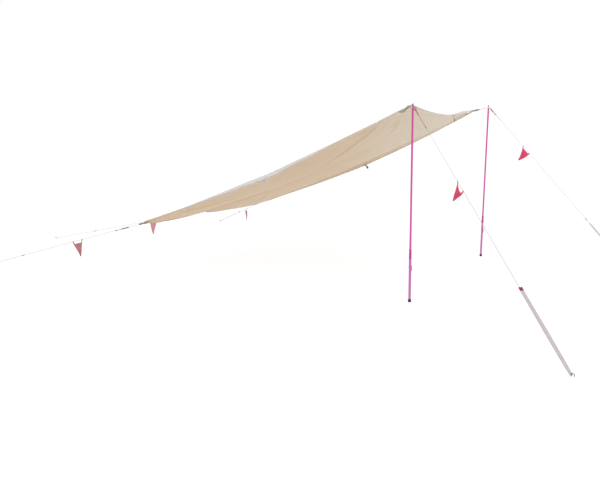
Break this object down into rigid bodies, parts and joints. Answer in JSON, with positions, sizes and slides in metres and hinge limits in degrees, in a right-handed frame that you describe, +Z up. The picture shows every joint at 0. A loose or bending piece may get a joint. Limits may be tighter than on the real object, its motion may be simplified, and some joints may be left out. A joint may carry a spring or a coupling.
{
  "type": "camping tarp",
  "caption": "Sloping fabric camping tarp on two telescopic poles, stayed by guy lines with pennants and sliders to ground pegs.",
  "frame": {"origin": "on the ground in the middle of the pegged-out footprint", "axes": "+Z up, -Y towards the high open front between the poles, -X towards the near pole's side"},
  "size_m": [6.2212, 8.7962, 2.1999],
  "materials": {
    "canvas": "woven polycotton, matt",
    "webbing": "woven webbing, matt",
    "peg_webbing": "pale woven webbing, matt",
    "elastic": "braided elastic cord",
    "cord": "braided cord with a coloured tracer",
    "pole": "glossy anodised or painted tube",
    "spike_steel": "plain steel",
    "peg_steel": "galvanised steel",
    "rubber": "matt black rubber",
    "slider": "moulded plastic",
    "lever": "moulded plastic",
    "front_pennant": "light woven nylon",
    "rear_pennant": "faded woven nylon"
  },
  "bodies": {
    "tarp": {"canopy": "canvas", "near_front_corner_strap": "webbing", "near_front_link_loop": "elastic", "far_front_corner_strap": "webbing", "far_front_link_loop": "elastic", "far_rear_corner_strap": "webbing", "far_rear_link_loop": "elastic", "near_rear_corner_strap": "webbing", "near_rear_link_loop": "elastic", "near_front_guy_strap": "webbing", "near_front_guy_line": "cord", "near_front_slider": "slider", "near_front_peg": "peg_steel", "near_front_peg_strap": "peg_webbing", "far_front_guy_strap": "webbing", "far_front_guy_line": "cord", "far_front_slider": "slider", "far_front_peg": "peg_steel", "far_front_peg_strap": "peg_webbing", "near_rear_guy_strap": "webbing", "near_rear_guy_line": "cord", "near_rear_slider": "slider", "near_rear_peg": "peg_steel", "middle_rear_guy_line": "cord", "middle_rear_slider": "slider", "middle_rear_peg": "peg_steel", "far_rear_guy_strap": "webbing", "far_rear_guy_line": "cord", "far_rear_slider": "slider", "far_rear_peg": "peg_steel", "front_tab": "webbing", "near_side_tab": "webbing", "far_side_tab": "webbing", "rear_tab": "webbing", "near_pole_upper_tube": "pole", "near_pole_spike": "spike_steel", "far_pole_upper_tube": "pole", "far_pole_spike": "spike_steel"},
    "near_pole_lower": {"near_pole_lower_tube": "pole", "near_pole_foot": "rubber", "near_pole_lever": "lever"},
    "far_pole_lower": {"far_pole_lower_tube": "pole", "far_pole_foot": "rubber", "far_pole_lever": "lever"},
    "near_front_pennant_swing": {"near_front_pennant": "front_pennant"},
    "far_front_pennant_swing": {"far_front_pennant": "front_pennant"},
    "near_rear_pennant_swing": {"near_rear_pennant": "rear_pennant"},
    "middle_rear_pennant_swing": {"middle_rear_pennant": "rear_pennant"},
    "far_rear_pennant_swing": {"far_rear_pennant": "rear_pennant"}
  },
  "joints": [
    {"name": "near_pole_slide", "type": "slide", "parent": "tarp", "child": "near_pole_lower", "axis": [-0.0091, 0.0036, 1], "range_m": [0, 0.3]},
    {"name": "far_pole_slide", "type": "slide", "parent": "tarp", "child": "far_pole_lower", "axis": [0.0068, -0.0114, 0.9999], "range_m": [0, 0.3]},
    {"name": "near_front_pennant_hinge", "type": "hinge", "parent": "tarp", "child": "near_front_pennant_swing", "pos_m": [-1.98456, -3.08315, 1.39114], "axis": [-0.507, -0.5839, -0.6341], "range_deg": [-90, 90]},
    {"name": "far_front_pennant_hinge", "type": "hinge", "parent": "tarp", "child": "far_front_pennant_swing", "pos_m": [1.99834, -2.90894, 1.56462], "axis": [0.2202, -0.6292, -0.7454], "range_deg": [-90, 90]},
    {"name": "near_rear_pennant_hinge", "type": "hinge", "parent": "tarp", "child": "near_rear_pennant_swing", "pos_m": [-1.72856, 2.17614, 0.40713], "axis": [-0.324, 0.9074, -0.2678], "range_deg": [-90, 90]},
    {"name": "middle_rear_pennant_hinge", "type": "hinge", "parent": "tarp", "child": "middle_rear_pennant_swing", "pos_m": [0.05063, 2.29954, 0.45236], "axis": [0.0203, 0.9778, -0.2085], "range_deg": [-90, 90]},
    {"name": "far_rear_pennant_hinge", "type": "hinge", "parent": "tarp", "child": "far_rear_pennant_swing", "pos_m": [2.05264, 1.84455, 0.43197], "axis": [0.6278, 0.7354, -0.2551], "range_deg": [-90, 90]}
  ]
}
